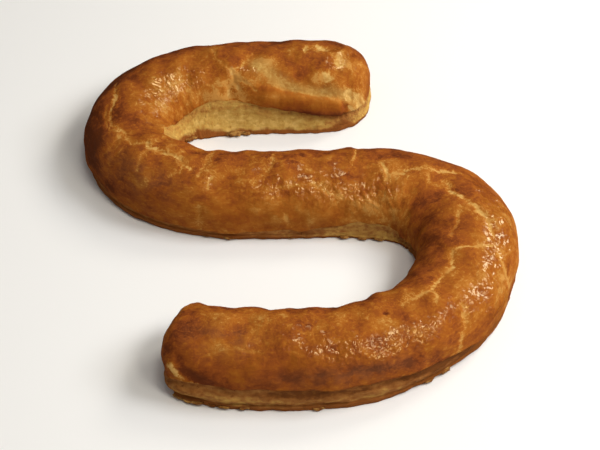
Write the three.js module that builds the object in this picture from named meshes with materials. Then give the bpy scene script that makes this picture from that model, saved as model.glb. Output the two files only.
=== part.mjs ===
// A baked puff pastry roll, bent into an open S and closed at both ends, lying flat on its base.
// It is one solid: a domed loaf section carried along a bent centre line, with the edge of the glazed skin,
// the layered side under it, the thin bottom sheet, soft lumps and the main cracks as relief.
// Millimetres, +Z up. The origin is under the middle of its box. Left and right are as seen when walking
// along the roll from its upper end, so the left side of the upper arm and of the front arm faces -Y.

import * as THREE from "three";

// Centre line on the table: where its upper end starts, then stretches that bend, with turns in degrees
const START_X = 37.7;
const START_Y = 85.1;
const START_HEADING = 171;
const STRETCHES = [
  { part: "upper arm", length: 84, turn: 18 },
  { part: "left bend, first half", length: 49, turn: 81 },
  { part: "left bend, second half", length: 50, turn: 74 },
  { part: "run out of the left bend", length: 40, turn: 22 },
  { part: "middle arm", length: 55, turn: -13 },
  { part: "right bend, tight half", length: 49, turn: -85 },
  { part: "right bend, open half", length: 44, turn: -36 },
  { part: "run out of the right bend", length: 45, turn: -41 },
  { part: "front arm", length: 44, turn: -17 },
  { part: "front end", length: 30, turn: -24 },
];
const ROLL_LENGTH = STRETCHES.reduce((sum, stretch) => sum + stretch.length, 0);
const EASE = 24; // length over which one bend passes into the next
const EASE_SAMPLES = 13;
const LINE_STEP = 0.5; // step at which the centre line is added up

// Sizes along the roll, each a list of [distance from the upper end, size]
const WIDTH = [[0, 48.5], [40, 49.5], [85, 44], [170, 42.5], [240, 44.5], [300, 47], [360, 42.5], [420, 41]];
const HEIGHT = [[0, 25.5], [40, 27], [85, 27], [170, 26], [240, 25], [360, 25.5], [420, 26.5], [490, 27.5]];
const DOME_SHIFT = [[0, -2.5], [120, -2.5], [240, -1], [300, 0], [360, 0.5], [420, 2]];
const FOOT_LEFT = [[0, 0], [40, 3], [85, 6], [120, 3], [170, 0], [240, -1], [360, -1.5]];
const FOOT_RIGHT = [[0, -1], [40, -1.5], [240, -1.5], [300, -1]];
const SKIN_LEFT = [[24, 9], [40, 12.5], [75, 16.5], [110, 12], [170, 9], [300, 6], [385, 10], [405, 12]];
const SKIN_RIGHT = [[0, 8], [85, 7], [120, 5], [240, 4.5], [300, 5], [420, 7]];

// The loaf section: a dome over nearly upright sides
const WIDEST_AT = 0.4; // height of the widest place, as a share of the whole height
const DOME_POWER = 0.95; // below 1 the dome is a little squarer than an ellipse

// The closed ends
const END_ROUNDING = 18; // length over which the width closes
const END_SLOPE = 22; // length over which the dome comes down
const END_POWER = 2.5; // above 2 the end is blunter than an ellipse
const END_LEAST = 0.04; // share of the section that is left at the very end

// Edges of the pastry sheets along both sides
const SHEET = 2; // thickness of the bottom sheet
const SHEET_OUT = 0.8; // how far it stands out
const SIDE_IN = 1.1; // how far the layered side lies back under the skin
const LAYER_RIDGE = 0.6; // height of the ridge along the middle of the side
const SKIN_LIP = 0.8; // thickness of the skin at its edge
const SKIN_OUT = 0.3; // how far that edge stands out
const SKIN_HIGHEST = 0.6; // most of the dome's rise that the side may reach, where the ends come down
const LAYER_RIDGE_AT = [0.45, 0.6]; // that ridge and the hollow over it, as shares of the side's height
const RAGGED = [{ wave: 19, rise: 0.35 }, { wave: 11, rise: 0.3 }, { wave: 6.7, rise: 0.25 }];
const RAGGED_SHARE = { sheet: 1, layer: 0.5, skin: 0.5 }; // how ragged each edge is
const RAGGED_PHASE = { sheet: 1, layer: 2, skin: 3 }; // keeps the edges unlike each other

// Soft lumps of the dome: waves along the roll and across it, from the crown
const LUMPS = [
  { along: 53, across: 80, rise: 0.4 },
  { along: 31, across: -47, rise: 0.3 },
  { along: 22, across: 29, rise: 0.25 },
  { along: 15, across: -21, rise: 0.2 },
];

// Main cracks of the skin, as [distance along the roll, arc from the crown, + to the left]
const CRACK_WIDTH = 3;
const CRACKS = [
  { depth: 1.1, points: [[296, 4], [303, -1], [318, 0], [327, 4], [337, 8]] },
  { depth: 0.7, points: [[352, -3], [362, -2], [376, 0], [394, -2]] },
  { depth: 0.6, points: [[375, 14], [382, 21], [384, 29]] },
  { depth: 0.7, points: [[123, -8], [140, -7], [160, -1], [180, 0]] },
  { depth: 0.8, points: [[57, 1], [67, 10], [70, 22]] },
  { depth: 1.4, points: [[14, 32], [8, 26], [5, 15], [16, 9]] },
];
const STEP_AT = 259; // the middle arm's skin has broken here, and the piece before it has risen
const STEP_RISE = 1.3;
const STEP_REACH = 9;

// Fineness of the faceted surface
const RING_SPACING = 3.4;
const END_RINGS = 9;
const DOME_COLUMNS = 9;

const CRUST_COLOUR = 0xb4701f;
const CRUST_ROUGHNESS = 0.42;

/** Size at a distance along the roll: eased between the listed places, constant beyond them. */
function sizeAt(list, along) {
  const next = list.findIndex(([place]) => place > along);
  if (next === 0) {
    return list[0][1];
  }
  if (next < 0) {
    return list[list.length - 1][1];
  }
  const [fromPlace, fromSize] = list[next - 1];
  const [toPlace, toSize] = list[next];
  const share = THREE.MathUtils.smoothstep(along, fromPlace, toPlace);
  return THREE.MathUtils.lerp(fromSize, toSize, share);
}

/** Turn made so far at a distance along the roll, in degrees, growing evenly within each stretch. */
function turnAt(along) {
  let left = along;
  let turn = 0;
  for (const stretch of STRETCHES) {
    const share = THREE.MathUtils.clamp(left / stretch.length, 0, 1);
    turn += stretch.turn * share;
    left -= stretch.length;
  }
  return turn;
}

/** Heading in radians: the turn averaged over the easing length, so that bends pass smoothly on. */
function headingAt(along) {
  let sum = 0;
  for (let i = 0; i < EASE_SAMPLES; i += 1) {
    sum += turnAt(along + EASE * (i / (EASE_SAMPLES - 1) - 0.5));
  }
  return THREE.MathUtils.degToRad(START_HEADING + sum / EASE_SAMPLES);
}

/** The centre line as points LINE_STEP apart, added up along the heading. */
function centreLine() {
  const points = [new THREE.Vector2(START_X, START_Y)];
  for (let along = LINE_STEP / 2; along < ROLL_LENGTH; along += LINE_STEP) {
    const heading = headingAt(along);
    const step = new THREE.Vector2(Math.cos(heading), Math.sin(heading)).multiplyScalar(LINE_STEP);
    points.push(points[points.length - 1].clone().add(step));
  }
  return points;
}

const LINE = centreLine();

/** Point of the centre line at a distance along it. */
function linePoint(along) {
  const place = along / LINE_STEP;
  const index = Math.min(Math.floor(place), LINE.length - 2);
  return LINE[index].clone().lerp(LINE[index + 1], place - index);
}

/** Share of the section that is there at a distance from the nearest end: a superellipse in plan. */
function endShare(fromEnd, reach) {
  const near = THREE.MathUtils.clamp(1 - fromEnd / reach, 0, 1);
  return Math.max((1 - near ** END_POWER) ** (1 / END_POWER), END_LEAST);
}

/** Sizes of one half of the section: side is 1 on the left and -1 on the right. */
function halfSection(along, side) {
  const fromEnd = Math.min(along, ROLL_LENGTH - along);
  const closing = endShare(fromEnd, END_ROUNDING);
  const height = sizeAt(HEIGHT, along);
  const widest = WIDEST_AT * height;
  const half = (sizeAt(WIDTH, along) / 2) * closing;
  const rise = (height - widest) * endShare(fromEnd, END_SLOPE);
  const foot = sizeAt(side > 0 ? FOOT_LEFT : FOOT_RIGHT, along) * closing;
  const shift = sizeAt(DOME_SHIFT, along) * closing;
  const quarter = (Math.PI / 2) * Math.sqrt((half ** 2 + rise ** 2) / 2);
  const skin = Math.min(sizeAt(side > 0 ? SKIN_LEFT : SKIN_RIGHT, along), widest + SKIN_HIGHEST * rise);
  return { along, side, widest, half, rise, foot, shift, quarter, skin };
}

/** Arc from the crown to where the outline of a half section has a height. */
function arcAtHeight(section, height) {
  if (height < section.widest) {
    return section.quarter + section.widest - height;
  }
  const share = ((height - section.widest) / section.rise) ** (1 / DOME_POWER);
  return section.quarter * (Math.acos(Math.min(share, 1)) / (Math.PI / 2));
}

/** Point of the smooth roll at an arc from the crown: a superellipse to the widest place, then a side. */
function smoothPoint(section, arc) {
  const angle = (Math.min(arc / section.quarter, 1) * Math.PI) / 2;
  const low = Math.max((arc - section.quarter) / section.widest, 0);
  const out = section.half * Math.sin(angle) ** DOME_POWER + section.foot * low ** 2;
  const dome = section.widest + section.rise * Math.max(Math.cos(angle), 0) ** DOME_POWER;
  const height = low > 0 ? section.widest * (1 - low) : dome;
  const across = section.side * out + section.shift;
  const heading = headingAt(section.along);
  const middle = linePoint(section.along);
  return new THREE.Vector3(
    middle.x - Math.sin(heading) * across,
    middle.y + Math.cos(heading) * across,
    height,
  );
}

/** Sum of sine waves that makes the edge of the sheet, a layer or the skin ragged. */
function ragged(edge, along, side) {
  let sum = 0;
  for (const { wave, rise } of RAGGED) {
    sum += rise * Math.sin((2 * Math.PI * along) / wave + side * RAGGED_PHASE[edge] * wave);
  }
  return RAGGED_SHARE[edge] * sum;
}

/** Distance from a place on the unrolled skin to a line of points. */
function distanceToLine(place, points) {
  let least = Infinity;
  const nearest = new THREE.Vector3();
  for (let i = 1; i < points.length; i += 1) {
    const [from, to] = [points[i - 1], points[i]].map(([along, arc]) => new THREE.Vector3(along, arc, 0));
    const segment = new THREE.Line3(from, to);
    segment.closestPointToPoint(place, true, nearest);
    least = Math.min(least, nearest.distanceTo(place));
  }
  return least;
}

/** Relief of the skin: lumps, less the cracks, and the risen piece of the middle arm. */
function skinRelief(along, arc) {
  let relief = 0;
  for (const { along: alongWave, across, rise } of LUMPS) {
    relief += rise * Math.sin(2 * Math.PI * (along / alongWave + arc / across));
  }
  const place = new THREE.Vector3(along, arc, 0);
  for (const { depth, points } of CRACKS) {
    relief -= depth * Math.exp(-((distanceToLine(place, points) / CRACK_WIDTH) ** 2));
  }
  const behindStep = STEP_AT - along;
  if (behindStep > 0 && arc > 0) {
    relief += STEP_RISE * Math.exp(-((behindStep / STEP_REACH) ** 2));
  }
  return relief;
}

/** The rows of one side wall from the table up to the edge of the skin, as heights with their relief. */
function wallRows(section) {
  const { along, side, skin } = section;
  const sheetOut = SHEET_OUT + ragged("sheet", along, side);
  const low = SHEET + SKIN_LIP / 2;
  const high = skin - SKIN_LIP;
  const [ridgeAt, hollowAt] = LAYER_RIDGE_AT.map((share) => THREE.MathUtils.lerp(low, high, share));
  return [
    { height: 0, relief: sheetOut },
    { height: SHEET, relief: sheetOut },
    { height: low, relief: -SIDE_IN },
    { height: ridgeAt, relief: LAYER_RIDGE - SIDE_IN + ragged("layer", along, side) },
    { height: hollowAt, relief: -SIDE_IN },
    { height: high, relief: -SIDE_IN },
    { height: skin, relief: SKIN_OUT + ragged("skin", along, side) },
  ];
}

/** One half ring from the table to just short of the crown: smooth points, each with its relief. */
function halfRing(along, side) {
  const section = halfSection(along, side);
  const columns = wallRows(section).map(({ height, relief }) => ({
    point: smoothPoint(section, arcAtHeight(section, height)),
    relief,
    upright: true,
  }));
  const edgeArc = arcAtHeight(section, section.skin);
  for (let i = 1; i < DOME_COLUMNS; i += 1) {
    const arc = edgeArc * (1 - i / DOME_COLUMNS);
    const relief = skinRelief(along, side * arc);
    columns.push({ point: smoothPoint(section, arc), relief, upright: false });
  }
  return columns;
}

/** A whole ring, from the left foot over the crown to the right foot. */
function ring(along) {
  const crown = {
    point: smoothPoint(halfSection(along, 1), 0),
    relief: skinRelief(along, 0),
    upright: false,
  };
  return [...halfRing(along, 1), crown, ...halfRing(along, -1).reverse()];
}

/** Places of the rings: close together where the ends round off, evenly spaced between. */
function ringPlaces() {
  const places = [];
  for (let i = 0; i < END_RINGS; i += 1) {
    places.push(END_SLOPE * (i / END_RINGS) ** 2);
  }
  const straight = ROLL_LENGTH - 2 * END_SLOPE;
  const count = Math.round(straight / RING_SPACING);
  for (let i = 0; i <= count; i += 1) {
    places.push(END_SLOPE + (straight * i) / count);
  }
  for (let i = END_RINGS - 1; i >= 0; i -= 1) {
    places.push(ROLL_LENGTH - END_SLOPE * (i / END_RINGS) ** 2);
  }
  return places;
}

/** Triangles between neighbouring rings, and across both ends, where left and right columns are zipped. */
function ringTriangles(rings, columns) {
  const index = [];
  const quad = (a, b, c, d) => index.push(a, b, c, a, c, d);
  for (let i = 0; i + 1 < rings; i += 1) {
    for (let j = 0; j < columns; j += 1) {
      const next = (j + 1) % columns;
      quad(i * columns + j, i * columns + next, (i + 1) * columns + next, (i + 1) * columns + j);
    }
  }
  const crown = (columns - 1) / 2;
  const last = (rings - 1) * columns;
  for (let j = 0; j + 1 < crown; j += 1) {
    const across = columns - 1 - j;
    quad(j, across, across - 1, j + 1);
    quad(last + j, last + j + 1, last + across - 1, last + across);
  }
  index.push(crown - 1, crown + 1, crown);
  index.push(last + crown - 1, last + crown, last + crown + 1);
  return index;
}

/** The roll: the smooth surface, then its relief pushed out along the surface's normals. */
function rollGeometry() {
  const rings = ringPlaces().map(ring);
  const columns = rings[0].length;
  const vertices = rings.flat();
  const geometry = new THREE.BufferGeometry();
  geometry.setFromPoints(vertices.map(({ point }) => point));
  geometry.setIndex(ringTriangles(rings.length, columns));
  geometry.computeVertexNormals();
  const position = geometry.getAttribute("position");
  const normal = geometry.getAttribute("normal");
  const direction = new THREE.Vector3();
  vertices.forEach(({ point, relief, upright }, i) => {
    direction.fromBufferAttribute(normal, i);
    if (upright) {
      direction.setZ(0).normalize();
    }
    position.setXYZ(i, ...point.clone().addScaledVector(direction, relief));
  });
  geometry.computeVertexNormals();
  return geometry;
}

const crust = new THREE.MeshStandardMaterial({
  color: CRUST_COLOUR,
  roughness: CRUST_ROUGHNESS,
  metalness: 0,
});
const roll = new THREE.Mesh(rollGeometry(), crust);
roll.name = "roll";

const part = new THREE.Group();
part.add(roll);

export default part;
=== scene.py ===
# %% [markdown]
# # A glazed pastry roll bent into an S
# This lesson dresses one baked roll of puff pastry. A solid of the roll is already packed as a frame, with
# its true size and place. We load it first, and hide it once the dressed roll stands in its place.

# %% Load the frame
import math

import bpy
import numpy as np
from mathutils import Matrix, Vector


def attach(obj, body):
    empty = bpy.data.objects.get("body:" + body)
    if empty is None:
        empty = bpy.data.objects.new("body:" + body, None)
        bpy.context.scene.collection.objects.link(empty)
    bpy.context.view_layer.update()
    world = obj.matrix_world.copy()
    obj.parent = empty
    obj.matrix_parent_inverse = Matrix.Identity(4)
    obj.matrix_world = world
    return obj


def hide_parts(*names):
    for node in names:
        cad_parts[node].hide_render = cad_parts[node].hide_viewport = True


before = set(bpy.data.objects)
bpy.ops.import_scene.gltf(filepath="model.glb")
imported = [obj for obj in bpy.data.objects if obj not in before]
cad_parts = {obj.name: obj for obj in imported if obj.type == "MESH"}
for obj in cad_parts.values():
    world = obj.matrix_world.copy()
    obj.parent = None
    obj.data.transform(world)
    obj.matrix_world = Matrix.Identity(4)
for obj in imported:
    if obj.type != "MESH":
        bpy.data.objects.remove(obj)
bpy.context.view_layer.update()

MM = 0.001
print("frame nodes:", list(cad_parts))

# %% [markdown]
# ## Camera
# The picture was taken from about 42 degrees above the table and some 0.7 m away, square to the arms of the
# S. A long lens keeps the arms nearly equal in width. The aim lies a little off the middle of the roll.

# %% Camera
CAMERA_AIM = Vector((3.7, -3.9, 0.0)) * MM
CAMERA_ELEVATION = math.radians(42.0)
CAMERA_DISTANCE = 0.700
CAMERA_LENS, CAMERA_SENSOR = 92.4, 36.0
CAMERA_NEAR = 0.01


def make_camera():
    """A camera on the circle of the given radius around the aim, tipped down by the elevation."""
    data = bpy.data.cameras.new("camera")
    data.lens = CAMERA_LENS
    data.sensor_width = CAMERA_SENSOR
    data.sensor_fit = "HORIZONTAL"
    data.clip_start = CAMERA_NEAR
    camera = bpy.data.objects.new("camera", data)
    bpy.context.scene.collection.objects.link(camera)
    back = Vector((0.0, -math.cos(CAMERA_ELEVATION), math.sin(CAMERA_ELEVATION)))
    camera.location = CAMERA_AIM + back * CAMERA_DISTANCE
    camera.rotation_euler = (math.pi / 2 - CAMERA_ELEVATION, 0.0, 0.0)
    bpy.context.scene.camera = camera
    return camera


camera = make_camera()
print("camera at", [round(v, 3) for v in camera.location])

# %% [markdown]
# ## Light
# On the photographed roll the right bend glows, the outside of the left bend is almost black brown, and
# small sharp glints sit on the bumps. One soft box to the right and half way up explains the broad shading,
# with three weaker ones around it and a pale sky to keep the shadows open. The glints mirror small lamps
# behind, beside, above and before the roll, paler or deeper gold by turns. So each lamp has one job here:
# it shades, or it is seen in the glaze.

# %% Lights
WHITE = (1.0, 1.0, 1.0)
WARM = (1.0, 0.94, 0.83)
PALE_GOLD = (1.0, 0.97, 0.64)
GOLDEN = (1.0, 0.84, 0.46)
DEEP_GOLD = (1.0, 0.76, 0.30)
LIGHTS = [
    ("key", "shade", (0.74, -0.02, 0.67), 0.50, 8.6, WHITE),
    ("front fill", "shade", (0.48, -0.42, 0.78), 0.30, 2.6, WARM),
    ("back fill", "shade", (0.62, 0.50, 0.60), 0.30, 3.6, WARM),
    ("top fill", "shade", (0.16, -0.24, 0.95), 0.30, 2.2, WARM),
    ("back right glint", "glint", (0.66, 0.58, 0.48), 0.26, 2.6, PALE_GOLD),
    ("right glint", "glint", (0.65, 0.08, 0.76), 0.22, 1.5, GOLDEN),
    ("top glint", "glint", (0.20, 0.04, 0.98), 0.16, 1.8, GOLDEN),
    ("front glint", "glint", (0.46, -0.34, 0.82), 0.19, 1.35, DEEP_GOLD),
    ("back glint", "glint", (0.08, 0.68, 0.73), 0.24, 2.6, GOLDEN),
]
LIGHT_DISTANCE = 1.1
SKY_COLOUR = (1.0, 0.98, 0.95, 1.0)
SKY_STRENGTH = 0.22


def make_light(name, job, toward, size, watts, colour):
    """A square soft box at the lights' distance in a direction, turned to face the middle of the roll."""
    data = bpy.data.lights.new(name, "AREA")
    data.size = size
    data.energy = watts
    data.color = colour
    light = bpy.data.objects.new(name, data)
    bpy.context.scene.collection.objects.link(light)
    direction = Vector(toward).normalized()
    light.location = direction * LIGHT_DISTANCE
    light.rotation_euler = direction.to_track_quat("Z", "Y").to_euler()
    light.visible_diffuse = job == "shade"
    light.visible_glossy = job == "glint"
    return light


for light in LIGHTS:
    make_light(*light)
world = bpy.data.worlds.new("sky")
world.use_nodes = True
background = world.node_tree.nodes["Background"]
background.inputs["Color"].default_value = SKY_COLOUR
background.inputs["Strength"].default_value = SKY_STRENGTH
bpy.context.scene.world = world
world.cycles_visibility.glossy = False
bpy.context.scene.view_settings.view_transform = "Standard"
print("lights:", ", ".join(light[0] for light in LIGHTS))

# %% [markdown]
# ## Shader maths as Python
# Materials are written as formulas. A small class wraps a node's output, so that a + b or 1 - mask adds the
# Math nodes it needs. Vectors and colours go through Vector Math and Mix, which keep all three channels.


# %% Node formulas
class Value:
    """An output socket in a node tree: operators add nodes to the tree."""

    def __init__(self, tree, socket):
        self.tree = tree
        self.socket = socket

    def node(self, kind, settings=None, **inputs):
        """A node of a kind: its settings are set first, then its sockets, where a Value is linked."""
        made = self.tree.nodes.new(kind)
        for key, value in (settings or {}).items():
            setattr(made, key, value)
        for key, value in inputs.items():
            slot = made.inputs[int(key[1:])] if key[0] == "_" and key[1:].isdigit() else made.inputs[key]
            if isinstance(value, Value):
                self.tree.links.new(value.socket, slot)
            else:
                slot.default_value = value
        return made

    def out(self, kind, output=0, settings=None, **inputs):
        """The chosen output of a new node, wrapped."""
        return Value(self.tree, self.node(kind, settings, **inputs).outputs[output])

    def math(self, operation, *others):
        """A Math node on this value and the others."""
        inputs = {f"_{i}": value for i, value in enumerate((self, *others))}
        return self.out("ShaderNodeMath", settings={"operation": operation}, **inputs)

    def __add__(self, other):
        return self.math("ADD", other)

    def __sub__(self, other):
        return self.math("SUBTRACT", other)

    def __rsub__(self, other):
        return (self * -1.0) + other

    def __mul__(self, other):
        return self.math("MULTIPLY", other)

    def __truediv__(self, other):
        return self.math("DIVIDE", other)

    __radd__ = __add__
    __rmul__ = __mul__

    def clamp(self):
        return self.math("MAXIMUM", 0.0).math("MINIMUM", 1.0)

    def rise(self, low, high):
        """0 below low, 1 above high, smooth between; falls instead where low is above high."""
        settings = {"interpolation_type": "SMOOTHSTEP"}
        inputs = {"_0": self, "_1": low, "_2": high}
        return self.out("ShaderNodeMapRange", settings=settings, **inputs)

    def mix(self, first, second):
        """Colour between two colours by this factor."""
        inputs = {"_0": self, "_6": first, "_7": second}
        return self.out("ShaderNodeMix", 2, {"data_type": "RGBA"}, **inputs)

    def stretch(self, x, y, z):
        """This vector with each axis multiplied."""
        settings = {"operation": "MULTIPLY"}
        return self.out("ShaderNodeVectorMath", settings=settings, _0=self, _1=(x, y, z))

    def shift(self, other):
        """This vector plus another."""
        return self.out("ShaderNodeVectorMath", settings={"operation": "ADD"}, _0=self, _1=other)

    def noise(self, scale, detail=3.0, roughness=0.55, output=0):
        """Cloudy noise on this vector, from 0 to 1; output 1 is three noises as a colour."""
        inputs = {"Vector": self, "Scale": scale, "Detail": detail, "Roughness": roughness}
        return self.out("ShaderNodeTexNoise", output, **inputs)

    def cell_shade(self, scale):
        """A grey from 0 to 1 for each cell of an uneven mosaic."""
        return self.out("ShaderNodeTexVoronoi", "Color", Vector=self, Scale=scale).math("ADD", 0.0)

    def ramp(self, stops):
        """Colours by this value, from stops of (place, colour)."""
        made = self.node("ShaderNodeValToRGB", Fac=self)
        stops_made = made.color_ramp.elements
        while len(stops_made) < len(stops):
            stops_made.new(0.5)
        for stop, (place, colour) in zip(stops_made, stops):
            stop.position = place
            stop.color = (*colour, 1.0)
        return Value(self.tree, made.outputs["Color"])


print("node formulas ready")


# %% Material helpers
def new_material(name):
    """A node material, its Principled shader, and a Value to start formulas from."""
    material = bpy.data.materials.new(name)
    material.use_nodes = True
    shader = material.node_tree.nodes["Principled BSDF"]
    return material, shader, Value(material.node_tree, None)


def feed(shader, **values):
    """Links or sets shader inputs; an underscore in a name stands for a space."""
    for key, value in values.items():
        slot = shader.inputs[key.replace("_", " ")]
        if isinstance(value, Value):
            value.tree.links.new(value.socket, slot)
        else:
            slot.default_value = value


print("material helpers ready")

# %% [markdown]
# ## From arrays to a mesh
# Every piece is a grid of points, worked out with numpy. One helper turns a grid into a mesh: rows of
# points joined by four-sided faces, with smooth shading. Another stores numbers on the points, which the
# materials read later.


# %% Mesh helpers
def grid_faces(rows, columns, closed):
    """Corner numbers of the faces of a grid; closed joins the last column to the first."""
    number = np.arange(rows * columns).reshape(rows, columns)
    if closed:
        number = np.concatenate([number, number[:, :1]], axis=1)
    corners = [number[:-1, :-1], number[:-1, 1:], number[1:, 1:], number[1:, :-1]]
    return np.stack(corners, axis=-1).reshape(-1, 4)


def make_piece(name, points, faces):
    """A smooth mesh object from points in millimetres and four-cornered faces."""
    mesh = bpy.data.meshes.new(name)
    mesh.from_pydata((points.reshape(-1, 3) * MM).tolist(), [], faces.tolist())
    mesh.polygons.foreach_set("use_smooth", np.ones(len(mesh.polygons), bool))
    mesh.update()
    piece = bpy.data.objects.new(name, mesh)
    bpy.context.scene.collection.objects.link(piece)
    print(name, "has", sum(len(p.vertices) - 2 for p in mesh.polygons), "triangles")
    return piece


def store(piece, name, values):
    """Numbers on the points of a piece: one each, or three each for a place."""
    kind, key = ("FLOAT_VECTOR", "vector") if values.ndim == 3 else ("FLOAT", "value")
    attribute = piece.data.attributes.new(name, kind, "POINT")
    attribute.data.foreach_set(key, np.ascontiguousarray(values, dtype=np.float32).ravel())


print("mesh helpers ready")

# %% [markdown]
# ## The table
# A plain pale floor, kept apart from the pieces of the roll.

# %% Floor
FLOOR_HALF = 3000.0
FLOOR_DROP = 0.3
FLOOR_COLOUR = (0.86, 0.86, 0.86, 1.0)
FLOOR_ROUGHNESS = 0.9


def make_floor():
    """A flat sheet: x and y run from -half to half, z is just under the roll's base."""
    side = np.linspace(-FLOOR_HALF, FLOOR_HALF, 3)
    x, y = np.meshgrid(side, side)
    points = np.stack([x, y, np.full_like(x, -FLOOR_DROP)], axis=-1)
    floor = make_piece("floor", points, grid_faces(3, 3, False))
    material, shader, _ = new_material("pale floor")
    feed(shader, Base_Color=FLOOR_COLOUR, Roughness=FLOOR_ROUGHNESS)
    floor.data.materials.append(material)
    return floor


floor = make_floor()
floor.visible_glossy = False

# %% [markdown]
# ## The bent centre line
# The baker rolls a straight log and bends it. We repeat that: stretches with a length and a turn, one after
# another, with the turn averaged over a short length so that a bend passes smoothly into the next. Adding
# small steps along the heading gives the line.

# %% Centre line
START = (37.7, 85.1)
START_HEADING = 171.0
STRETCHES = np.array([
    (84, 18), (49, 81), (50, 74), (40, 22),
    (55, -13), (49, -85), (44, -36), (45, -41), (44, -17), (31, -15.5),
], float)
EASE = 24.0
EASE_SAMPLES = 13
LINE_STEP = 0.5
ROLL_LENGTH = STRETCHES[:, 0].sum()


def heading_at(along):
    """Heading in radians: the turn so far, averaged over the easing length around each place."""
    places = np.concatenate([[0.0], np.cumsum(STRETCHES[:, 0])])
    turns = np.concatenate([[0.0], np.cumsum(STRETCHES[:, 1])])
    offsets = np.linspace(-EASE / 2, EASE / 2, EASE_SAMPLES)
    turn = np.mean([np.interp(along + offset, places, turns) for offset in offsets], axis=0)
    return np.radians(START_HEADING + turn)


LINE_PLACES = np.arange(0.0, ROLL_LENGTH + LINE_STEP / 2, LINE_STEP)
line_heading = heading_at(LINE_PLACES[:-1] + LINE_STEP / 2)
LINE_X = START[0] + np.concatenate([[0.0], np.cumsum(np.cos(line_heading))]) * LINE_STEP
LINE_Y = START[1] + np.concatenate([[0.0], np.cumsum(np.sin(line_heading))]) * LINE_STEP
print("centre line", ROLL_LENGTH, "mm long")

# %% [markdown]
# ## The loaf section
# Cut across, the roll is a dome over nearly upright sides. Its sizes change along the roll: each is a short
# list of (place, size), eased between. Near both ends the width closes as a superellipse and the dome comes
# down, so the ends are blunt and round. Left and right are as seen when walking along the roll from its
# upper end.

# %% Section sizes
WIDTH = [(0, 48.5), (40, 49.5), (85, 44), (130, 42), (170, 41.4), (210, 43.2), (240, 44.5), (300, 47),
         (360, 42.5), (420, 41), (475, 41.6)]
HEIGHT = [(0, 26.0), (40, 27.4), (85, 27), (170, 26), (240, 25), (360, 25.5), (420, 27.3), (465, 26.0),
          (490, 24.0)]
DOME_SHIFT = [(0, -2.5), (95, -2.5), (130, -1.9), (175, -1.6), (240, -1), (300, 0), (335, 0.7), (370, 1.4),
              (420, 2), (475, 1.4)]
FOOT = {1: [(0, 0), (40, 3), (85, 6), (120, 3), (170, 0), (240, -1), (360, -1.5), (388, -3.2), (398, -2.6),
            (412, -0.8), (430, -0.8)],
        -1: [(0, -1), (40, -1.5), (240, -1.5), (300, -1)]}
SKIN = {1: [(24, 9), (40, 12.5), (75, 16.5), (110, 12), (122, 12), (140, 18), (152, 22.5), (161, 24),
            (169, 23.5), (185, 14), (215, 8), (300, 5), (355, 5.5), (392, 10.5), (400, 12), (476, 12),
            (491, 10)],
        -1: [(0, 9), (14, 6), (50, 4.5), (85, 5), (205, 4.5), (235, 5.5), (252, 8), (262, 10.5), (274, 10),
             (288, 7), (300, 5), (345, 4.5), (400, 5.5), (470, 5.5), (484, 8), (491, 10)]}
EDGE_SWAY = {1: [(185, 0.2), (215, 1.8), (345, 1.8), (370, 0.3)],
             -1: [(0, 1.8), (100, 1.8), (130, 0.6), (300, 0.6), (335, 1.8)]}
WIDEST_AT = 0.4
DOME_POWER = 0.95
END_ROUNDING = {1: (23.0, 18.0), -1: (17.0, 9.0)}
END_SLOPE = (22.0, 9.0)
END_POWER = (2.5, 3.1)
END_LEAST = 0.015
SKIN_HIGHEST = 0.97
widths = [size for _, size in WIDTH]
print("section", min(widths), "to", max(widths), "mm wide")


# %% Loaf section
def smooth_step(t):
    """The curve 3t^2 - 2t^3 between 0 and 1."""
    t = np.clip(t, 0.0, 1.0)
    return t * t * (3.0 - 2.0 * t)


def size_at(table, along):
    """Size at each place: smooth steps from one listed place to the next, constant beyond them."""
    places, sizes = np.array(table, float).T
    result = np.full_like(along, sizes[0])
    for k in range(1, len(places)):
        result = result + (sizes[k] - sizes[k - 1]) * smooth_step(
            (along - places[k - 1]) / (places[k] - places[k - 1]))
    return result


def end_share(from_end, reach, power):
    """Share of the section left at a distance from the end: a superellipse quarter."""
    near = np.clip(1.0 - from_end / reach, 0.0, 1.0)
    return np.maximum((1.0 - near ** power) ** (1.0 / power), END_LEAST)


def half_section(along, side):
    """The sizes of the left (1) or right (-1) half of the section at each place along the roll."""
    first = along < ROLL_LENGTH / 2
    from_end = np.where(first, along, ROLL_LENGTH - along)
    power = np.where(first, *END_POWER)
    closing = end_share(from_end, np.where(first, *END_ROUNDING[side]), power)
    sloping = end_share(from_end, np.where(first, *END_SLOPE), power)
    height = size_at(HEIGHT, along)
    widest = WIDEST_AT * height
    half = size_at(WIDTH, along) / 2 * closing
    rise = (height - widest) * sloping
    quarter = np.pi / 2 * np.sqrt((half ** 2 + rise ** 2) / 2)
    skin = np.minimum(size_at(SKIN[side], along), widest + SKIN_HIGHEST * rise)
    return {"along": along, "side": side, "half": half, "rise": rise, "widest": widest, "quarter": quarter,
            "skin": skin, "foot": size_at(FOOT[side], along) * closing,
            "shift": size_at(DOME_SHIFT, along) * sloping}


def arc_at_height(section, height):
    """Arc from the crown to where the outline has a height, on the side or on the dome."""
    share = np.clip((height - section["widest"]) / section["rise"], 0.0, 1.0) ** (1.0 / DOME_POWER)
    on_dome = section["quarter"] * np.arccos(share) / (np.pi / 2)
    return np.where(height < section["widest"], section["quarter"] + section["widest"] - height, on_dome)


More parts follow.
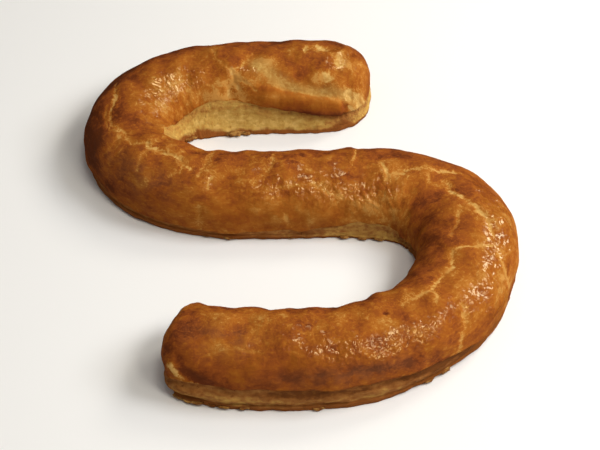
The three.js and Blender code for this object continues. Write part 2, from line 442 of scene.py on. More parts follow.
def smooth_point(section, arc):
    """Points at arcs from the crown.

    A superellipse falls to the widest place, then the side runs down and flares by the foot."""
    angle = np.minimum(arc / section["quarter"], 1.0) * np.pi / 2
    low = np.maximum((arc - section["quarter"]) / section["widest"], 0.0)
    out = section["half"] * np.sin(angle) ** DOME_POWER + section["foot"] * low ** 2
    dome = section["widest"] + section["rise"] * np.maximum(np.cos(angle), 0.0) ** DOME_POWER
    height = np.where(low > 0, section["widest"] * (1.0 - low), dome)
    across = section["side"] * out + section["shift"]
    along = section["along"]
    heading = heading_at(along)
    x = np.interp(along, LINE_PLACES, LINE_X) - np.sin(heading) * across
    y = np.interp(along, LINE_PLACES, LINE_Y) + np.cos(heading) * across
    return np.stack([x, y, height], axis=-1)


middle = half_section(np.array([ROLL_LENGTH / 2]), 1)
print("in the middle:", middle["half"].round(1), "mm out,", middle["skin"].round(1), "mm up to the skin")

# %% [markdown]
# ## Noise on arrays
# Baked pastry is never even. Two kinds of noise are enough: soft waves, for lumps and wandering edges, and
# cells, for blisters and for the net of fine creases. Both work on whole arrays, and the same seed gives
# the same roll.


# %% Array noise
def cell_draw(i, j, seed):
    """A fixed random share from 0 to 1 for each grid cell."""
    h = (i.astype(np.int64) * 374761393 + j.astype(np.int64) * 668265263 + seed * 974634777) & 0xFFFFFFFF
    h = ((h ^ (h >> 13)) * 1274126177) & 0xFFFFFFFF
    return ((h ^ (h >> 16)) & 0xFFFFFF) / float(0x1000000)


def waves(u, v, seed):
    """Gradient noise, about -0.7 to 0.7: a random slope at each grid corner, blended by a smooth curve."""
    i, j = np.floor(u), np.floor(v)
    fu, fv = u - i, v - j
    su, sv = smooth_step(fu), smooth_step(fv)
    total = 0.0
    for di in (0, 1):
        for dj in (0, 1):
            angle = 2 * np.pi * cell_draw(i + di, j + dj, seed)
            slope = np.cos(angle) * (fu - di) + np.sin(angle) * (fv - dj)
            total = total + slope * (su if di else 1 - su) * (sv if dj else 1 - sv)
    return total


def along_waves(along, length, row, seed):
    """Waves of one length that change along the roll only: the noise on a single row."""
    return waves(along / length, along * 0 + row, seed)


def cloudy(u, v, seed, octaves=3):
    """Waves summed at doubled fineness and halved height."""
    return sum(waves(u * 2 ** k, v * 2 ** k, seed + k) / 2 ** k for k in range(octaves))


def cells(u, v, seed):
    """Distance to the nearest of one random point in each grid cell, and a fixed draw for that point."""
    i, j = np.floor(u), np.floor(v)
    first = np.full(u.shape, np.inf)
    draw = np.zeros(u.shape)
    for di in (-1, 0, 1):
        for dj in (-1, 0, 1):
            ci, cj = i + di, j + dj
            distance = np.hypot(ci + cell_draw(ci, cj, seed) - u, cj + cell_draw(ci, cj, seed + 1) - v)
            draw = np.where(distance < first, cell_draw(ci, cj, seed + 2), draw)
            first = np.minimum(first, distance)
    return first, draw


print("noise ready")

# %% [markdown]
# ## Where the points go
# Rings of points stand along the roll, closer together at the ends. Each ring climbs the bottom sheet, the
# layered side and the dome on the left, and comes down the same way on the right. The edge of the skin is a
# row of its own, so that it can stand out as a sharp lip over the side. At the blunt ends the roll drops
# faster than it runs on, so a second measure along it, the walk, adds that drop: noise read on the walk is
# not stretched there.

# %% Ring layout
RING_SPACING = 0.69
END_RINGS = 40
END_REACH = 22.0
SHEET_ROWS = 5
SIDE_ROWS = 15
DOME_ROWS = 41
BASE_ROWS = 6
SHEET = 2.0
LEAST_SIDE = 1.2
SHEET_WAVE, SHEET_WAVE_LENGTH = 0.7, 6.0
GAP_LOW, GAP_HIGH = 0.25, 0.4
RAG_REACH, RAG_LENGTH = (0.9, 0.4), (7.0, 2.6)
SWAY_LENGTH = 13.0
CALM_AT, CALM_REACH, CALM_SHARE = 160.0, 28.0, 0.9
BASE_ARC, BASE_EDGE = 60.0, 99.0


def ring_places():
    """Places of the rings: squared steps at both ends, even steps between."""
    end = END_REACH * (np.arange(END_RINGS) / END_RINGS) ** 2
    count = int(round((ROLL_LENGTH - 2 * END_REACH) / RING_SPACING))
    middle = np.linspace(END_REACH, ROLL_LENGTH - END_REACH, count + 1)
    return np.concatenate([end, middle, ROLL_LENGTH - end[::-1]])


def side_rows(along, side):
    """Arcs and zones of one half ring from the table to the crown: 0 is sheet, 1 is side, 2 is skin."""
    section = half_section(along, side)
    ragged = RAG_REACH[0] * along_waves(along, RAG_LENGTH[0], 3 * side, 11)
    ragged = ragged + RAG_REACH[1] * along_waves(along, RAG_LENGTH[1], 0, 12 + side)
    calm = np.exp(-((along - CALM_AT) / CALM_REACH) ** 2) if side > 0 else 0.0
    sway = size_at(EDGE_SWAY[side], along) * along_waves(along, SWAY_LENGTH, side, 14)
    sheet_top = SHEET + SHEET_WAVE * along_waves(along, SHEET_WAVE_LENGTH, side, 13)
    edge = section["skin"] + ragged * (1.0 - CALM_SHARE * calm) + sway
    edge = np.maximum(edge, sheet_top + LEAST_SIDE)
    sheet = np.linspace(0.0, 1.0, SHEET_ROWS) * sheet_top
    low, high = sheet_top + GAP_LOW, edge - GAP_HIGH
    layered = low + (high - low) * np.linspace(0.0, 1.0, SIDE_ROWS)
    wall = np.concatenate([sheet, layered], axis=1)
    edge_arc = arc_at_height(section, edge)
    dome = edge_arc * np.linspace(1.0, 0.0, DOME_ROWS)
    arc = np.concatenate([arc_at_height(section, wall), dome], axis=1)
    zone = np.repeat([0, 1, 2], [SHEET_ROWS, SIDE_ROWS, DOME_ROWS])[None] + 0 * arc
    return section, arc, zone, edge


print("half ring of", SHEET_ROWS + SIDE_ROWS + DOME_ROWS, "rows")

# %% Rings
ring_along = ring_places()[:, None]
left_section, left_arc, left_zone, left_edge = side_rows(ring_along, 1)
right_section, right_arc, right_zone, right_edge = side_rows(ring_along, -1)
left_points = smooth_point(left_section, left_arc)
right_points = smooth_point(right_section, right_arc)
across_base = np.linspace(0.0, 1.0, BASE_ROWS + 2)[1:-1][None, :, None]
base_points = right_points[:, :1] * (1 - across_base) + left_points[:, :1] * across_base


def whole_ring(left, right, base):
    """Left half up to the crown, right half down without its crown, then the base back to the start."""
    return np.concatenate([left, right[:, -2::-1], base], axis=1)


SMOOTH = whole_ring(left_points, right_points, base_points)
RINGS, COLUMNS = SMOOTH.shape[:2]
flat = np.zeros((RINGS, BASE_ROWS))
ARC = whole_ring(left_arc, -right_arc, flat + BASE_ARC)
ZONE = whole_ring(left_zone, right_zone, flat - 1)
EDGE = whole_ring(left_edge + 0 * left_arc, right_edge + 0 * right_arc, flat + BASE_EDGE)
ALONG = ring_along + 0 * ARC
end_drop = size_at(HEIGHT, ring_along) * (1.0 - WIDEST_AT) - left_section["rise"]
WALK = ALONG + np.where(ALONG < ROLL_LENGTH / 2, -end_drop, end_drop)
HIGH = SMOOTH[..., 2]
SIDE = whole_ring(1 + 0 * left_arc, -1 + 0 * right_arc, flat)
print("roll grid", RINGS, "x", COLUMNS)

# %% [markdown]
# ## A map of the skin
# The skin is drawn on a flat map first, as if it were peeled off: one direction runs along the roll and the
# other is the arc from the crown, positive to the left, both in millimetres. Marks are ovals and bent lines
# on that map. Their rims wander with the noise, because nothing on pastry is ruled.

# %% Map helpers
WANDERS = [(5.0, 1.1), (2.2, 0.45)]
OVAL_RIM, OVAL_SOFT = 1.3, 0.6


def wandering(seed):
    """Sum of cloudy noises: each has a size and a reach, in millimetres."""
    return sum(reach * cloudy(WALK / size, ARC / size, seed + k) for k, (size, reach) in enumerate(WANDERS))


MAP_U = ALONG + wandering(21)
MAP_V = ARC + wandering(31)


def line_distance(line, wander=1.0):
    """Least distance from each place to a bent line, over the nearest points of its straight runs."""
    u, v = ALONG + wander * (MAP_U - ALONG), ARC + wander * (MAP_V - ARC)
    least = np.full(u.shape, np.inf)
    for (u0, v0), (u1, v1) in zip(line[:-1], line[1:]):
        du, dv = u1 - u0, v1 - v0
        share = np.clip(((u - u0) * du + (v - v0) * dv) / (du * du + dv * dv), 0.0, 1.0)
        least = np.minimum(least, np.hypot(u - u0 - share * du, v - v0 - share * dv))
    return least


def oval(along, arc, half_along, half_arc):
    """1 in the middle of an oval, 0 outside it, with a soft rim."""
    r = np.hypot((MAP_U - along) / half_along, (MAP_V - arc) / half_arc)
    return smooth_step((OVAL_RIM - r) / OVAL_SOFT)


def bell(along, arc, half_along, half_arc):
    """The bell exp(-r^2) over an oval, for changes with no rim."""
    return np.exp(-((ALONG - along) / half_along) ** 2 - ((ARC - arc) / half_arc) ** 2)


print("the map wanders by up to", round(float(np.abs(MAP_U - ALONG).max()), 2), "mm")

# %% [markdown]
# ## Cracks and pale places
# In the oven the glazed skin splits and the pale dough shows in thin branching lines, each with a golden
# fringe. Each line has a width, a paleness and a depth. Where the skin is torn or bare, larger ovals are
# pale as well. The points keep how close the nearest split is, and the material turns that into a line that
# comes and goes.

# %% Cracks
CRACKS = {
    "upper arm": [
        (0.5, 0.5, 0.1, [(57, -1), (60, 3), (64, 7), (68, 9)]),
        (0.5, 0.35, 0.1, [(76, -4), (75, 2), (72, 6), (68, 9)]),
        (0.9, 0.7, 0.15, [(68, 9), (67, 14), (65, 19)]),
        (0.8, 0.65, 0.15, [(67, 13), (70, 17), (71, 23)]),
        (0.6, 0.45, 0.1, [(56, 20), (62, 16), (67, 12)]),
    ],
    "left bend": [
        (0.65, 0.62, 0.12, [(118, -11), (123, -8), (127, -6), (131, -6), (135, -7), (139, -8), (143, -7),
                            (147, -4), (150, -3), (153, -4), (157, -4), (161, 0)]),
        (0.6, 0.72, 0.12, [(161, 0), (165, -1), (170, 0), (176, 1), (180, 0), (183, -3), (187, -4)]),
        (0.5, 0.6, 0.1, [(131, -9), (139, -10), (144, -9), (148, -5)]),
        (1.0, 0.4, 0.1, [(150, -5), (153, -10), (152, -18)]),
        (0.9, 0.35, 0.1, [(157, -9), (156, -17), (158, -26)]),
        (0.8, 0.4, 0.1, [(165, -1), (166, -7), (168, -13)]),
        (1.2, 0.35, 0.1, [(173, -11), (172, -19), (168, -17)]),
        (0.6, 0.6, 0.1, [(180, -10), (183, -6), (184, -2)]),
    ],
    "middle arm": [
        (0.8, 0.4, 0.1, [(191, -7), (192, 2), (193, 10)]),
        (1.0, 0.3, 0.1, [(193, -34), (194, -28), (193, -22)]),
        (0.55, 0.45, 0.1, [(195, -12), (195.6, -8.5), (196.6, -6)]),
        (0.8, 0.4, 0.1, [(213, -8), (218, -5), (221, 0), (223, 7)]),
        (1.1, 0.3, 0.1, [(214, -9), (222, -12), (230, -10), (240, -10)]),
        (0.8, 0.3, 0.1, [(228, -31), (226, -24)]),
        (1.1, 0.45, 0.1, [(240, -9), (245, -13), (251, -14)]),
        (0.4, 0.6, 0.2, [(258, 0), (258.5, 6), (259, 12)]),
        (0.7, 0.15, -0.35, [(260, -15.5), (260.7, -18.5), (261.5, -21.5)]),
        (0.7, 0.15, -0.35, [(264, -14.5), (266.5, -18.5), (271.5, -20.5)]),
        (0.7, 0.15, -0.35, [(276.5, -16), (278.5, -18.5), (280.5, -20.5)]),
        (0.7, 0.75, 0.1, [(270.5, 2), (272.5, -1), (274.5, -4.6), (273.5, -7.5)]),
        (0.6, 0.45, 0.1, [(270, 2), (273, 3.5), (277, 4.5)]),
        (0.8, 0.65, 0.1, [(277.5, -4), (279.5, -3), (283, -3.2)]),
    ],
    "right bend": [
        (0.8, 0.6, 0.15, [(281, -2), (287, 0), (291, 2), (295, 4), (300, 9)]),
        (0.7, 0.4, 0.1, [(291, 2), (297, -4), (302, -1)]),
        (0.8, 0.65, 0.2, [(300, 1), (304, 0), (308, -1)]),
        (0.95, 0.95, 0.2, [(308, -1), (312, 0), (318, 2)]),
        (1.0, 0.85, 0.15, [(318, 2), (322, 3), (326, 5)]),
        (0.8, 0.55, 0.15, [(326, 5), (331, 7), (336, 9)]),
        (0.8, 0.45, 0.1, [(319, -2), (326, -4), (331, -4), (337, -6), (341, -6)]),
        (0.6, 0.55, 0.1, [(341, 9), (344, 4), (347, -1), (351, -5)]),
        (0.7, 0.65, 0.15, [(351, -4), (355, -3.5), (359, -1.2), (365, -2.4), (370, -2.2), (374, -1.6),
                           (378, -0.6)]),
        (0.6, 0.5, 0.1, [(378, -0.6), (379, 2.3), (381.5, 3.8)]),
        (0.7, 0.45, 0.1, [(378, -0.6), (383.5, -1.7), (388.5, -2.6), (393, -2.2)]),
        (0.7, 0.55, 0.15, [(374, 11), (376, 15), (378, 19), (381, 24), (383, 30)]),
        (0.7, 0.45, 0.1, [(344, 12), (349, 20), (350, 28)]),
        (1.2, 0.2, 0.05, [(279, -21), (290, -22), (303, -22)]),
    ],
    "front arm": [
        (0.7, 0.35, 0.1, [(394, 19), (395, 28)]),
        (0.5, 0.3, 0.05, [(452, 10), (463, 9), (470, 12), (474, 18)]),
        (1.4, 0.7, -0.5, [(483, 19), (481, 22.5), (478, 26), (472, 28.5)]),
    ],
}
# Ovals and bells are listed as along, arc, their half lengths and an amount.
PALE_OVALS = [
    (25, -5, 6, 4, 0.9), (31, -3, 2.5, 4.5, 0.8), (15, 2, 3.5, 5, 0.9), (20.5, 12.5, 5.2, 3.8, 0.8),
    (6, 19, 5, 5.5, 1.0), (3, 20, 4, 7, 1.0), (5, 26, 3.5, 6, 1.0), (51, 6, 9, 5, 0.5),
    (66, 11, 3.5, 3, 0.5), (290, -1, 5, 3.5, 0.35), (246, -12, 7, 4.5, 0.4), (226, -12, 6, 3, 0.2),
]
VALLEY = [(8, 19.5), (22, 20.8), (34, 20.3), (41.5, 17.5), (48, 12), (56, 6.5)]
VALLEY_WIDTH = 3.0
LINE_FADE = 5.0
RIM_RISE, RIM_AT, RIM_WIDTH = 0.3, 2.4, 0.9
TEAR_LEAST, TEAR_PALE, TEAR_FALL = 0.73, 0.7, 0.75
print("cracks:", {place: len(lines) for place, lines in CRACKS.items()})

# %% Splits on the map
crack_relief = np.zeros(ALONG.shape)
SPLIT = np.zeros(ALONG.shape)
PALE = np.zeros(ALONG.shape)
for width, paleness, depth, line in sum(CRACKS.values(), []):
    away = line_distance(line) / width
    rim = RIM_RISE * np.exp(-((away - RIM_AT) / RIM_WIDTH) ** 2)
    crack_relief = crack_relief + depth * (rim - np.exp(-away ** 2))
    PALE = np.where(1.0 - away / LINE_FADE > SPLIT, paleness, PALE)
    SPLIT = np.maximum(SPLIT, 1.0 - away / LINE_FADE)
for along, arc, half_along, half_arc, paleness in PALE_OVALS:
    away = np.hypot((MAP_U - along) / half_along, (MAP_V - arc) / half_arc)
    inside = TEAR_LEAST + TEAR_PALE * paleness - TEAR_FALL * away
    PALE = np.where(inside > SPLIT, paleness, PALE)
    SPLIT = np.maximum(SPLIT, inside)
valley = np.exp(-(line_distance(VALLEY) / VALLEY_WIDTH) ** 2)
print("near a split:", round(100 * float((SPLIT > 0).mean()), 1), "% of the points")

# %% [markdown]
# ## Relief of the skin
# Heights in millimetres simply add up: long soft lumps, dents around the cracks, a broken step on the
# middle arm, a rolled lip and a fold at the upper end, and small blisters where the glaze is pebbly.

# %% Skin relief
LUMPS = [(53, 80, 0.4), (31, -47, 0.3), (22, 29, 0.25), (15, -21, 0.2)]
DENT_WIDTH = 3.0
DENTS = [
    (0.5, [(296, 4), (303, -1), (318, 1), (327, 4), (337, 8)]),
    (0.5, [(352, -3), (362, -2), (376, 0), (394, -2)]),
    (0.5, [(375, 14), (382, 21), (384, 29)]),
    (0.35, [(123, -8), (140, -7), (160, -1), (180, 0)]),
    (0.5, [(57, 1), (67, 10), (70, 22)]),
    (0.5, [(10, 22), (7, 14), (16, 9)]),
    (0.9, [(469, 28.5), (474, 24.5), (478, 19.5), (480, 15)]),
]
STEP_AT, STEP_RISE, STEP_REACH = 259.0, 0.4, 9.0
STEP_FALL, STEP_FALL_REACH = 0.5, 6.0
STEP_SOFT, STEP_SIDE_FROM, STEP_SIDE_EASE = 3.2, -1.0, 3.0
LIP = [(16, 28.3), (24, 28.5), (40, 26.5), (58, 22)]
LIP_WIDTH, LIP_RISE, LIP_WANDER = 5.6, 2.7, 0.4
LIP_ENDS, LIP_FADE = 68.0, 32.0
VALLEY_DEPTH, VALLEY_ENDS, VALLEY_FADE = 0.7, 52.0, 15.0
END_BAR, END_BAR_WIDTH, END_BAR_RISE = [(4, 24), (3, 17), (6, 9)], 3.5, 0.45
POCKET, POCKET_DEPTH = (9, 26.5, 2.2, 3.2), 1.0
PIT, PIT_DEPTH = (401.7, -0.8, 1.1, 0.7), 1.1
TEAR_DEPTH, TEAR_FROM, TEAR_EASE = 0.3, 0.6, 0.4
BLISTER_GRID, BLISTER_REACH = (2.8, 2.6), 0.62
BLISTER_LEAST, BLISTER_MORE = 0.04, 0.16
LEAST_PEBBLY = 0.1
ROLLING_SIZE, ROLLING_RISE = 8.0, 0.45
GRAIN_SIZE, GRAIN_RISE = 2.6, 0.08
SWELLINGS = [(27, 6, 9, 9, 0.8), (69, 1, 6.5, 8, 0.5), (265, 4, 5, 4, -0.5), (359, 24, 2.6, 1.8, 0.7),
             (366, 22, 2.4, 1.8, 0.7)]
PEBBLES = [
    (350, 13.5, 42, 8, 1.0), (324, 13, 17, 5.5, 0.95), (360, 25, 8, 4, 0.6), (29, -3, 5, 4, 0.45),
    (413, 14, 17, 6, 0.85), (394, 9, 10, 5, 0.3), (110, 10, 30, 8, 1.0), (14, -3, 10, 10, 0.6),
    (17, 6, 4, 3, 0.7), (190, -9, 6, 3, 0.3), (238, -11, 44, 12, 0.62), (268, -15, 16, 7, 0.6),
    (440, 7, 26, 10, 0.48), (62, 12, 10, 6, 0.45), (359, 24, 3.5, 3, 0.7), (366, 22, 3.5, 3, 0.8),
]


def lumps():
    """Sum of slanted sine waves."""
    return sum(rise * np.sin(2 * np.pi * (ALONG / a + ARC / c)) for a, c, rise in LUMPS)


def dents():
    """Sum of bells over the distance to bent lines."""
    return sum(depth * np.exp(-(line_distance(line) / DENT_WIDTH) ** 2) for depth, line in DENTS)


def broken_step():
    """On the left of the crown, a rise towards the step and a fall after it, both dying away."""
    before = STEP_AT - MAP_U
    rise = STEP_RISE * np.exp(-(before / STEP_REACH) ** 2)
    fall = STEP_FALL * np.exp(-(before / STEP_FALL_REACH) ** 2)
    high_side = smooth_step((before + STEP_SOFT / 2) / STEP_SOFT)
    on_left = smooth_step((ARC - STEP_SIDE_FROM) / STEP_SIDE_EASE)
    return (rise * high_side - fall * (1.0 - high_side)) * on_left


def bar(width, line, wander=1.0):
    """A round bar along a bent line: the circle profile sqrt(1 - (d/w)^2)."""
    return np.sqrt(np.clip(1.0 - (line_distance(line, wander) / width) ** 2, 0.0, 1.0))


print("lumps", len(LUMPS), "- dents", len(DENTS), "- pebbly places", len(PEBBLES))

# %% Skin heights
lip_bar = bar(LIP_WIDTH, LIP, LIP_WANDER) * smooth_step((LIP_ENDS - ALONG) / LIP_FADE)
PEBBLY = np.clip(LEAST_PEBBLY + sum(amount * bell(*place) for *place, amount in PEBBLES), 0.0, 1.0)
near, draw = cells((MAP_U + WALK - ALONG) / BLISTER_GRID[0], MAP_V / BLISTER_GRID[1], 41)
blisters = (BLISTER_LEAST + BLISTER_MORE * draw) * np.maximum(0.0, 1.0 - (near / BLISTER_REACH) ** 2)
rolling = cloudy(WALK / ROLLING_SIZE, ARC / ROLLING_SIZE, 71)
valley_left = valley * smooth_step((VALLEY_ENDS - ALONG) / VALLEY_FADE)
skin_relief = (
    lumps() - dents() + crack_relief + broken_step() + LIP_RISE * lip_bar - VALLEY_DEPTH * valley_left
    + sum(rise * oval(*place) for *place, rise in SWELLINGS) + END_BAR_RISE * bar(END_BAR_WIDTH, END_BAR)
    - POCKET_DEPTH * bell(*POCKET) - PIT_DEPTH * bell(*PIT)
    - TEAR_DEPTH * PALE * smooth_step((SPLIT - TEAR_FROM) / TEAR_EASE) + PEBBLY * blisters
    + ROLLING_RISE * rolling + GRAIN_RISE * cloudy(WALK / GRAIN_SIZE, ARC / GRAIN_SIZE, 81)
)
print("skin relief", round(float(skin_relief.min()), 2), "to", round(float(skin_relief.max()), 2), "mm")

# %% [markdown]
# ## Relief of the side and the bottom sheet
# Under the skin the baked layers show as thin wavy leaves and a spongy crumb, drawn in under the lip and
# bulging lower down. The bottom sheet is a browned edge that stands out a little and is ragged. On the
# front arm a soft fold and a broken crevice run along the side, and the last end is tucked in at its foot.

# %% Side relief
SHEET_OUT = 0.6
SIDE_IN = 1.1
SKIN_OUT, SKIN_OUT_WAVE, SKIN_OUT_LENGTH, SKIN_OUT_HIGH = 0.4, 0.4, 5.0, 1.2
LAYER_PITCH, LAYER_BEND, LAYER_BEND_SIZE = 2.2, 1.1, (16.0, 9.0)
LEAF_OUT, LEAF_ROUNDING = 0.1, 0.7
LEAF_WAVES = [(0.45, 11.0, 3.7, 101), (0.2, 4.0, 2.3, 102)]
UNDER_LIP_DEEP, UNDER_LIP_OUT = 5.0, 0.8
FRONT_FROM, FRONT_EASE = 365.0, 40.0
END_ROLL_FROM, END_ROLL_EASE = 448.0, 20.0
FOLD_AT, FOLD_END_RISE, FOLD_WIDTH, FOLD_STRENGTH = 0.42, 0.1, 2.6, 0.7
FOLD_OUT, FOLD_END_OUT, FRONT_IN = 0.8, 0.7, 0.5
CREVICE_ABOVE, CREVICE_WIDTH, CREVICE_DEPTH = 3.2, 0.8, 0.5
CREVICE_STRENGTH, CREVICE_END_MORE = 0.4, 0.4
FRONT_WAVES = {"fold height": (1.8, 23.0, 161), "fold strength": (1.2, 17.0, 162),
               "crevice height": (1.4, 8.0, 165), "crevice strength": (1.5, 14.0, 164)}
SIDE_CLOUDS = {"side": (0.35, 6.0, 4.0, 111), "front": (0.7, 9.0, 6.0, 163),
               "sheet": (0.7, 9.0, 9.0, 141), "sheet edge": (0.5, 4.5, 4.0, 121)}
LEAF_REACH = {1: [(180, 1.0), (215, 2.2), (345, 2.2), (375, 1.0)],
              -1: [(110, 2.2), (130, 1.2), (300, 1.2), (330, 2.2)]}
DRAWN_IN = {1: [(5, 0.3), (13, 1.0), (45, 1.0), (62, 0.4), (115, 0.4), (140, 1.0), (380, 1.0), (405, 0.5),
                (480, 0.35)],
            -1: [(0, 0.3), (10, 1.0), (115, 1.0), (135, 0.45), (245, 0.4), (284, 0.4), (300, 1.0),
                 (470, 1.0), (484, 0.35)]}


def by_side(tables):
    """A size along the roll, from the table of the side that each point is on."""
    return np.where(SIDE > 0, size_at(tables[1], ALONG), size_at(tables[-1], ALONG))


def leaves():
    """Layers of one pitch, bent by noise: each has its own reach, with a rounded edge."""
    bent = HIGH + LAYER_BEND * cloudy(WALK / LAYER_BEND_SIZE[0], HIGH / LAYER_BEND_SIZE[1], 91)
    layer = bent / LAYER_PITCH
    leaf = np.floor(layer)
    reach = sum(rise * waves(WALK / length, leaf * row, seed) for rise, length, row, seed in LEAF_WAVES)
    return (LEAF_OUT + reach) * by_side(LEAF_REACH) * np.sin(np.pi * (layer - leaf)) ** LEAF_ROUNDING


def front_wave(name):
    """Waves along the front arm, listed as reach, length and seed."""
    reach, length, seed = FRONT_WAVES[name]
    return reach * along_waves(ALONG, length, 0, seed)


def side_cloud(name):
    """Cloudy noise on the wall, listed as rise, length, height and seed."""
    rise, length, height, seed = SIDE_CLOUDS[name]
    return rise * cloudy(WALK / length, HIGH / height, seed)


print("noises on the wall:", ", ".join((*FRONT_WAVES, *SIDE_CLOUDS)))

# %% Side heights
under_lip = smooth_step((EDGE - HIGH) / UNDER_LIP_DEEP)
on_front_arm = smooth_step((ALONG - FRONT_FROM) / FRONT_EASE) * (SIDE > 0)
end_roll = smooth_step((ALONG - END_ROLL_FROM) / END_ROLL_EASE)
fold_height = (FOLD_AT + FOLD_END_RISE * end_roll) * EDGE + front_wave("fold height")
fold_strength = np.clip(FOLD_STRENGTH + front_wave("fold strength"), 0.0, 1.0)
fold_strength = np.maximum(fold_strength, end_roll)
front_fold = np.exp(-((HIGH - fold_height) / FOLD_WIDTH) ** 2) * fold_strength
crevice_height = fold_height + CREVICE_ABOVE + front_wave("crevice height")
crevice_strength = CREVICE_STRENGTH + front_wave("crevice strength") + CREVICE_END_MORE * end_roll
crevice_strength = smooth_step(crevice_strength)
crevice = on_front_arm * crevice_strength * np.exp(-((HIGH - crevice_height) / CREVICE_WIDTH) ** 2)
drawn_in = by_side(DRAWN_IN)
side_relief = drawn_in * (UNDER_LIP_OUT * under_lip - SIDE_IN) + leaves()
side_relief = side_relief + side_cloud("side") - CREVICE_DEPTH * crevice
front_relief = (FOLD_OUT + FOLD_END_OUT * end_roll) * front_fold - FRONT_IN + side_cloud("front")
side_relief = side_relief + on_front_arm * front_relief
sheet_relief = SHEET_OUT + side_cloud("sheet") + side_cloud("sheet edge")
lip = np.exp(-(np.maximum(HIGH - EDGE, 0.0) / SKIN_OUT_HIGH) ** 2) * drawn_in
lip = lip * (SKIN_OUT + SKIN_OUT_WAVE * cloudy(WALK / SKIN_OUT_LENGTH, ARC * 0, 151))
zones = [ZONE == 0, ZONE == 1, ZONE == 2]
RELIEF = np.select(zones, [sheet_relief, side_relief, skin_relief + lip], 0.0)
print("relief", round(float(RELIEF.min()), 2), "to", round(float(RELIEF.max()), 2), "mm")

# %% [markdown]
# ## The dressed roll
# Each point moves out by its relief: square to the surface on the dome, level on the low wall, so that the
# foot stays on the table. Rings close on themselves, and a zip of faces closes both ends.

# %% Dressed roll
TUCK_SKIN, TUCK_BELOW, TUCK_EASE = 2.1, 16.0, 5.0
TUCK_FOOT, TUCK_FOOT_HIGH, TUCK_REACH = 3.4, 4.5, 22.0
LOW_WALL = 26.0 * WIDEST_AT
TINY = 1e-9


def unit(vectors):
    """Vectors of length one: each is divided by its length."""
    return vectors / np.maximum(np.linalg.norm(vectors, axis=-1, keepdims=True), TINY)


def grid_normals(points):
    """Normals of a grid that closes round each ring: the cross product of its two central differences."""
    along_step = np.gradient(points, axis=0)
    round_step = np.roll(points, -1, axis=1) - np.roll(points, 1, axis=1)
    return unit(np.cross(round_step, along_step))


NORMAL = grid_normals(SMOOTH)
NORMAL = NORMAL * np.sign(NORMAL[RINGS // 2, left_arc.shape[1] - 1, 2])
level = unit(NORMAL * [1.0, 1.0, 0.0])
low_wall = (ZONE < 2) & (HIGH < LOW_WALL)
ROLL = SMOOTH + np.where(low_wall[..., None], level, NORMAL) * RELIEF[..., None]
ROLL[..., 2] = np.where(ZONE < 0, 0.0, np.maximum(ROLL[..., 2], 0.0))
tuck = TUCK_SKIN * smooth_step((TUCK_BELOW - ROLL[..., 2]) / TUCK_EASE)
tuck = tuck + TUCK_FOOT * smooth_step(1.0 - ROLL[..., 2] / TUCK_FOOT_HIGH)
tuck = tuck * smooth_step((ALONG - ROLL_LENGTH + TUCK_REACH) / TUCK_REACH)
ROLL[..., 0] = ROLL[..., 0] - tuck * np.cos(heading_at(ALONG))
ROLL[..., 1] = ROLL[..., 1] - tuck * np.sin(heading_at(ALONG))


def roll_faces():
    """Faces round the rings and a zip across each end, where left and right columns face each other."""
    half = left_arc.shape[1]
    left = np.arange(half - 1)
    right = 2 * half - 2 - left
    start = np.stack([left, right, np.maximum(right - 1, half - 1), left + 1], axis=-1)[:-1]
    last = (RINGS - 1) * COLUMNS + start[:, ::-1]
    return np.concatenate([grid_faces(RINGS, COLUMNS, True), start, last])


roll = make_piece("roll_dressed", ROLL, roll_faces())
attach(roll, "root")
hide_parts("roll")

# %% [markdown]
# ## How brown it baked, with painted light and shade
# The oven browns high and outer places more. Broad bells on the map make the skin browner or more golden;
# a few stand in for light instead: painted shade on faces turned from the key light and painted light on
# the right bend's outer rim. The lumps, the lip, the pocket, the pit, the crease and the line under the lip
# carry painted light and shade too, and the height of the brown base differs along the roll. A few places
# baked evener or crackled, and a few take a painted sheen. All of it is stored on the points for the
# material to read.

# %% Browning
# Most tones are baked browning. The outside of the left bend and the left end of the front arm, which face
# away from the key light, get painted shade as well, and the right bend's outer rim is painted lighter where
# the glaze glints.
TONES = [
    (45, -17, 60, 9, 0.38), (108, -14, 30, 8, 0.35), (138, -24, 24, 14, 0.45), (165, -18, 18, 10, 0.2),
    (135, 0, 25, 8, 0.16), (60, 17, 40, 8, -0.25), (75, 25, 28, 6, -0.3), (112, 11, 25, 9, -0.32),
    (52, 8, 12, 7, -0.12), (37, 11, 7, 5, 0.3), (69, 2, 6, 6, 0.15), (30, 8, 8, 6, 0.12),
    (225, -24, 35, 9, -0.2), (270, -28, 25, 8, -0.2), (215, 8, 45, 6, 0.22), (272, 14, 30, 7, 0.32),
    (265, 5, 6, 4, 0.12), (320, -14, 32, 8, 0.25), (306, -5, 9, 4, 0.1), (342, 20, 30, 8, -0.22),
    (300, 2, 25, 12, 0.1), (278, -1, 11, 6, -0.05), (352, 8, 22, 6, -0.06), (275, -16, 16, 9, -0.28),
    (328, -1, 12, 5, 0.14), (345, -27, 20, 7, 0.1), (400, -17, 60, 7, 0.27), (450, -18, 30, 8, 0.2),
    (365, 25, 14, 6, 0.15), (442, 23, 45, 7, 0.26), (462, 6, 25, 10, 0.04), (486, 6, 9, 16, 0.32),
    (472, 22, 4, 5, 0.25), (398, 21, 16, 6, 0.15), (473, 24, 9, 6, 0.14), (8, -2, 7, 6, -0.25),
    (448, 6, 9, 5, -0.1), (390, 8, 7, 5, -0.14), (143, 11, 8, 6, -0.12), (430, 10, 9, 5, 0.07),
    (408, 10, 8, 4, 0.08), (234, -5, 7, 5, 0.1), (34, 5, 5, 5, 0.14), (176, -13, 5, 4, -0.12),
    (60, 15, 6, 4, 0.08),
]
EVEN_PLACES = [(228, -24, 45, 8), (455, 19, 40, 9)]
